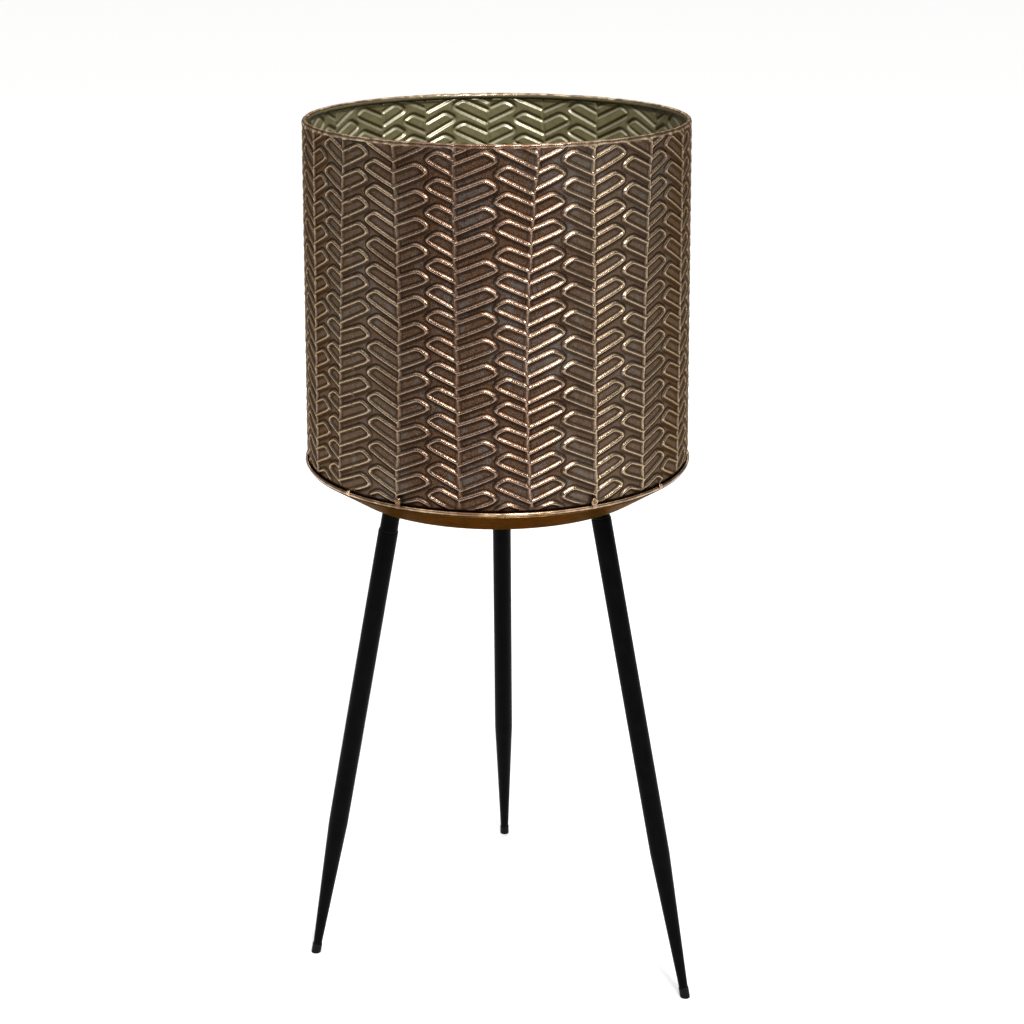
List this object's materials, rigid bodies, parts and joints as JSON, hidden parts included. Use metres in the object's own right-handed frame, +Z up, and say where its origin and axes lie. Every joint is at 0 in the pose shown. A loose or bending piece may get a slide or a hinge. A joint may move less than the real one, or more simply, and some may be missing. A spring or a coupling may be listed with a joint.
{
  "type": "planter pot on legs",
  "caption": "Drum-shaped embossed sheet-metal planter with a rolled rim and a shallow dish base, standing on splayed screw-in tapered tube legs.",
  "frame": {"origin": "bottom centre of the whole object's box, on the floor; the pot's own axis is 1.6 mm towards +X and 15.4 mm towards -Y from it", "axes": "+Z up, -Y the front, towards the gap between the left and right legs; the third leg stands at the back, +Y"},
  "size_m": [0.3204, 0.341, 0.715],
  "materials": {
    "embossed_copper": "antiqued copper patina outside, olive satin paint inside",
    "antique_brass": "satin antique brass",
    "bright_copper": "rubbed copper",
    "steel": "zinc plated",
    "black_paint": "satin black powder coat",
    "black_plastic": "matte"
  },
  "bodies": {
    "pot": {"pot_wall": "embossed_copper", "rim_wire": "steel", "base_dish": "antique_brass", "lip_ring": "bright_copper", "lip_tabs": "bright_copper", "tab_rivets": "bright_copper", "socket_rivets": "black_paint", "socket_plate_left": "black_paint", "socket_stub_left": "black_paint", "socket_plate_right": "black_paint", "socket_stub_right": "black_paint", "socket_plate_back": "black_paint", "socket_stub_back": "black_paint"},
    "washer_left": {"leg_washer_left": "black_plastic"},
    "leg_left": {"leg_stud_left": "steel", "leg_insert_left": "black_paint", "leg_tube_left": "black_paint", "foot_cap_left": "black_plastic"},
    "washer_right": {"leg_washer_right": "black_plastic"},
    "leg_right": {"leg_stud_right": "steel", "leg_insert_right": "black_paint", "leg_tube_right": "black_paint", "foot_cap_right": "black_plastic"},
    "washer_back": {"leg_washer_back": "black_plastic"},
    "leg_back": {"leg_stud_back": "steel", "leg_insert_back": "black_paint", "leg_tube_back": "black_paint", "foot_cap_back": "black_plastic"}
  },
  "joints": [
    {"name": "leg_left_travel", "type": "slide", "parent": "pot", "child": "washer_left", "axis": [-0.1772, 0.0426, -0.9833], "range_m": [0, 0.011]},
    {"name": "leg_left_turn", "type": "hinge", "parent": "washer_left", "child": "leg_left", "pos_m": [-0.08543, -0.05801, 0.39209], "axis": [-0.1772, 0.0426, -0.9833], "range_deg": [0, 3168]},
    {"name": "leg_right_travel", "type": "slide", "parent": "pot", "child": "washer_right", "axis": [0.1757, -0.1092, -0.9784], "range_m": [0, 0.011]},
    {"name": "leg_right_turn", "type": "hinge", "parent": "washer_right", "child": "leg_right", "pos_m": [0.08334, -0.06619, 0.40495], "axis": [0.1757, -0.1092, -0.9784], "range_deg": [0, 3168]},
    {"name": "leg_back_travel", "type": "slide", "parent": "pot", "child": "washer_back", "axis": [0.0067, 0.2068, -0.9784], "range_m": [0, 0.011]},
    {"name": "leg_back_turn", "type": "hinge", "parent": "washer_back", "child": "leg_back", "pos_m": [0.00473, 0.08074, 0.40495], "axis": [0.0067, 0.2068, -0.9784], "range_deg": [0, 3168]}
  ],
  "couplings": [
    {"joint": "leg_left_turn", "follows": "leg_left_travel", "rad_per_m": 5026.5},
    {"joint": "leg_right_turn", "follows": "leg_right_travel", "rad_per_m": 5026.5},
    {"joint": "leg_back_turn", "follows": "leg_back_travel", "rad_per_m": 5026.5}
  ]
}
